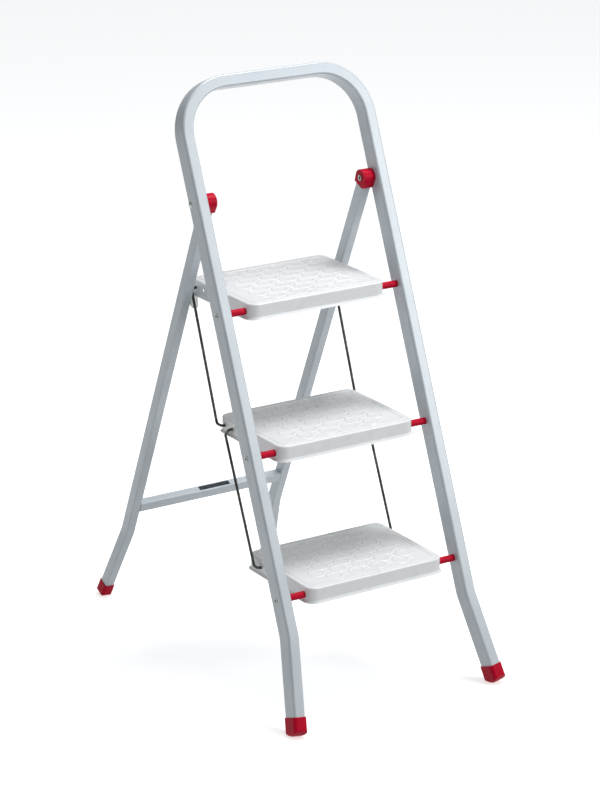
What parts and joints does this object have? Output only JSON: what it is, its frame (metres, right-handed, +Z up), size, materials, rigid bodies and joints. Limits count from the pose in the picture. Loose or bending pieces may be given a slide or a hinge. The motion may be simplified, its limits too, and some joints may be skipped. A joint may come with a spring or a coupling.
{
  "type": "folding step ladder",
  "caption": "Folding household step ladder: bent-tube front frame with a hand hoop, pressed steel tread trays tied by link rods, and a hinged rear frame with a crossbar.",
  "frame": {"origin": "on the floor, in the middle of the open ladder's bounding box", "axes": "+Z up, -Y towards the person who climbs (the front), +X to that person's right when they face the ladder"},
  "size_m": [0.4458, 0.7612, 1.0581],
  "materials": {
    "silver_powder_coat": "satin light silver-grey powder coat",
    "red_plastic": "semi-gloss moulded red plastic",
    "white_enamel": "glossy white enamel over embossed sheet",
    "dark_wire": "dark grey coating with a dull shine",
    "zinc_plate": "zinc plated, semi-bright",
    "label_film": "plain printed film, no marking"
  },
  "bodies": {
    "front_frame": {"front_frame_tube": "silver_powder_coat", "front_foot_left": "red_plastic", "front_foot_right": "red_plastic", "top_step_axle": "zinc_plate", "middle_step_axle": "zinc_plate", "bottom_step_axle": "zinc_plate", "top_spacer_left": "red_plastic", "top_spacer_right": "red_plastic", "middle_spacer_left": "red_plastic", "middle_spacer_right": "red_plastic", "bottom_spacer_left": "red_plastic", "bottom_spacer_right": "red_plastic", "pivot_rivet_left": "zinc_plate", "pivot_rivet_right": "zinc_plate"},
    "rear_frame": {"rear_leg_left": "silver_powder_coat", "rear_leg_right": "silver_powder_coat", "rear_crossbar": "silver_powder_coat", "crossbar_label": "label_film", "pivot_cap_left": "red_plastic", "pivot_cap_right": "red_plastic", "rear_foot_left": "red_plastic", "rear_foot_right": "red_plastic", "catch_stud_left": "zinc_plate", "catch_stud_right": "zinc_plate"},
    "top_step": {"top_step_tray": "white_enamel", "hook_bracket_left": "zinc_plate", "hook_bracket_right": "zinc_plate"},
    "middle_step": {"middle_step_tray": "white_enamel"},
    "bottom_step": {"bottom_step_tray": "white_enamel"},
    "upper_links": {"upper_link_left": "dark_wire", "upper_link_right": "dark_wire"},
    "lower_links": {"lower_link_left": "dark_wire", "lower_link_right": "dark_wire"}
  },
  "joints": [
    {"name": "rear_fold", "type": "hinge", "parent": "front_frame", "child": "rear_frame", "pos_m": [0, -0.0041, 0.85458], "axis": [-1, 0, 0], "range_deg": [0, 43.7]},
    {"name": "top_step_turn", "type": "hinge", "parent": "front_frame", "child": "top_step", "pos_m": [0, -0.08761, 0.6769], "axis": [1, 0, 0], "range_deg": [0, 67.8]},
    {"name": "middle_step_turn", "type": "hinge", "parent": "front_frame", "child": "middle_step", "pos_m": [0, -0.18241, 0.4469], "axis": [1, 0, 0], "range_deg": [0, 67.8]},
    {"name": "bottom_step_turn", "type": "hinge", "parent": "front_frame", "child": "bottom_step", "pos_m": [0, -0.27721, 0.2169], "axis": [1, 0, 0], "range_deg": [0, 67.8]},
    {"name": "upper_links_turn", "type": "hinge", "parent": "top_step", "child": "upper_links", "pos_m": [0, 0.07789, 0.6784], "axis": [-1, 0, 0], "range_deg": [0, 67.8]},
    {"name": "lower_links_turn", "type": "hinge", "parent": "middle_step", "child": "lower_links", "pos_m": [0, -0.04191, 0.4484], "axis": [-1, 0, 0], "range_deg": [0, 67.8]}
  ],
  "couplings": [
    {"joint": "top_step_turn", "follows": "rear_fold", "ratio": 1.5469},
    {"joint": "middle_step_turn", "follows": "rear_fold", "ratio": 1.5469},
    {"joint": "bottom_step_turn", "follows": "rear_fold", "ratio": 1.5469},
    {"joint": "upper_links_turn", "follows": "rear_fold", "ratio": 1.5469},
    {"joint": "lower_links_turn", "follows": "rear_fold", "ratio": 1.5469}
  ]
}
